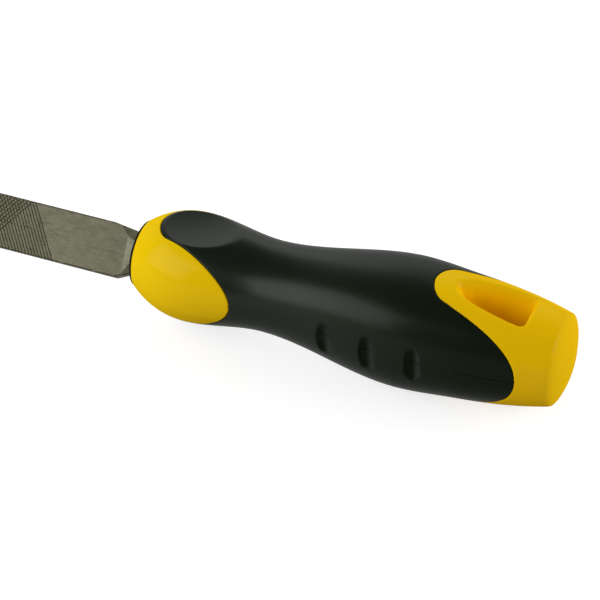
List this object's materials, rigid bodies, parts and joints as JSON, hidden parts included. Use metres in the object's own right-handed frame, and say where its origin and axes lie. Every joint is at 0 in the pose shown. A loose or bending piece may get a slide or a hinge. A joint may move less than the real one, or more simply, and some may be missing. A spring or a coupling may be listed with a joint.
{
  "type": "flat file",
  "caption": "Flat hand file for metalwork: steel blade with cut faces, its tang held in a waisted handle of hard and soft plastic with a thumb rest, finger scoops and a hang hole.",
  "frame": {"origin": "centre of the whole part in plan, at the level of the handle's lowest point", "axes": "+X along the handle from the blade's tip towards the butt, +Z out of the thumb rest, -Y towards the side from which the blade's face is seen square on"},
  "size_m": [0.2892, 0.0372, 0.0372],
  "materials": {
    "blade_steel": "cut and hardened steel, dull",
    "core_yellow": "satin yellow moulding",
    "grip_black": "soft black overmoulding, fine grain",
    "bush_black": "matte black moulding"
  },
  "bodies": {
    "root": {"file_blade": "blade_steel", "handle_core": "core_yellow", "grip_sleeve": "grip_black", "tang_bush": "bush_black"}
  },
  "joints": []
}
